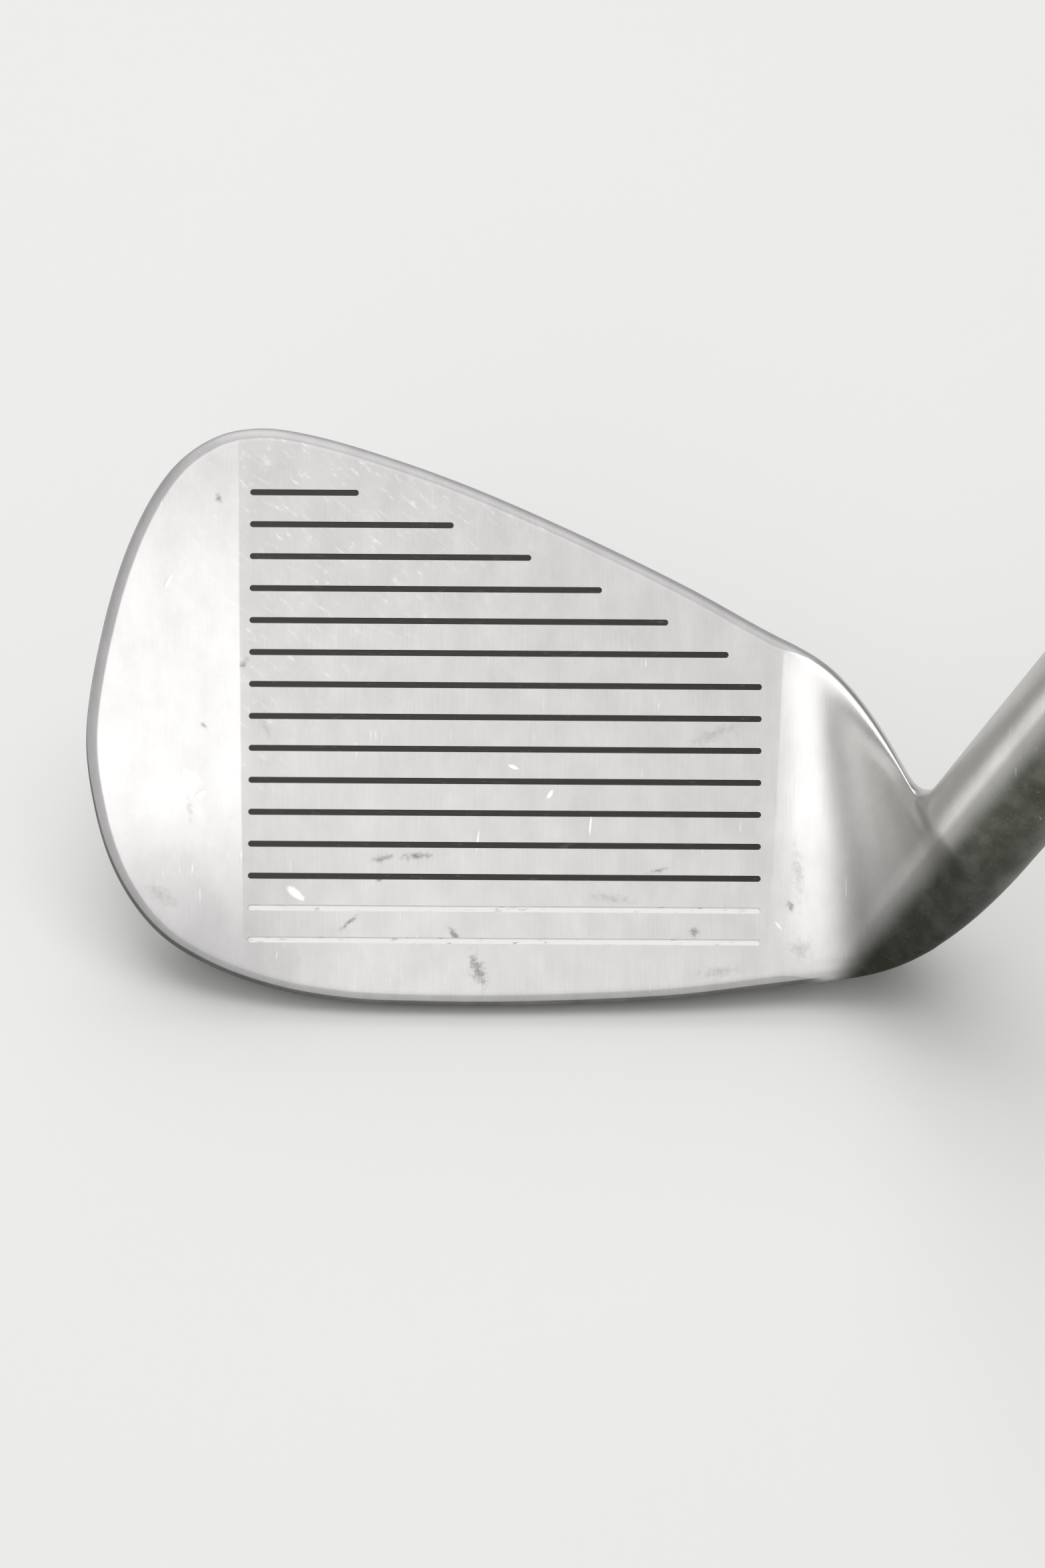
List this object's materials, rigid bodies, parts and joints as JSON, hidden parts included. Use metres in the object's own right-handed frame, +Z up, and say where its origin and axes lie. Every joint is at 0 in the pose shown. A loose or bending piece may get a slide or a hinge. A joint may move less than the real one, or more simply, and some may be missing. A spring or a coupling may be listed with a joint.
{
  "type": "iron golf club",
  "caption": "Short iron golf club with a scored blade, stepped steel shaft, ferrule and tapered rubber grip, standing soled at address.",
  "frame": {"origin": "on the ground under the middle of the score lines, level with the lowest line of the sole", "axes": "+X from toe to heel, -Y the way the face looks, +Z up; the club is soled at address with its loft of 43 degrees and lie of 63.5 degrees, and the shaft axis lies in a plane parallel to XZ"},
  "size_m": [0.5056, 0.0578, 0.8241],
  "materials": {
    "clubhead": "satin cast stainless steel, with a blasted band across the face",
    "score_line_paint_dark": "black paint fill",
    "score_line_paint_light": "worn white paint fill",
    "cavity_badge": "dark anodised, plain",
    "badge_tape": "black foam tape",
    "ferrule": "polished black",
    "hosel_glue": "cured epoxy",
    "tip_weight": "turned",
    "shaft": "bright plated steel",
    "shaft_band": "plain film",
    "grip_tape": "masking-type tape",
    "grip": "moulded, matt",
    "grip_cap": "smooth, matt",
    "grip_paint": "white paint fill"
  },
  "bodies": {
    "root": {"clubhead": "clubhead", "score_line_paint_dark": "score_line_paint_dark", "score_line_paint_light": "score_line_paint_light", "cavity_badge": "cavity_badge", "badge_tape": "badge_tape", "ferrule": "ferrule", "hosel_glue": "hosel_glue", "tip_weight": "tip_weight", "shaft": "shaft", "shaft_band": "shaft_band", "grip_tape": "grip_tape", "grip": "grip", "grip_cap": "grip_cap", "grip_paint": "grip_paint"}
  },
  "joints": []
}
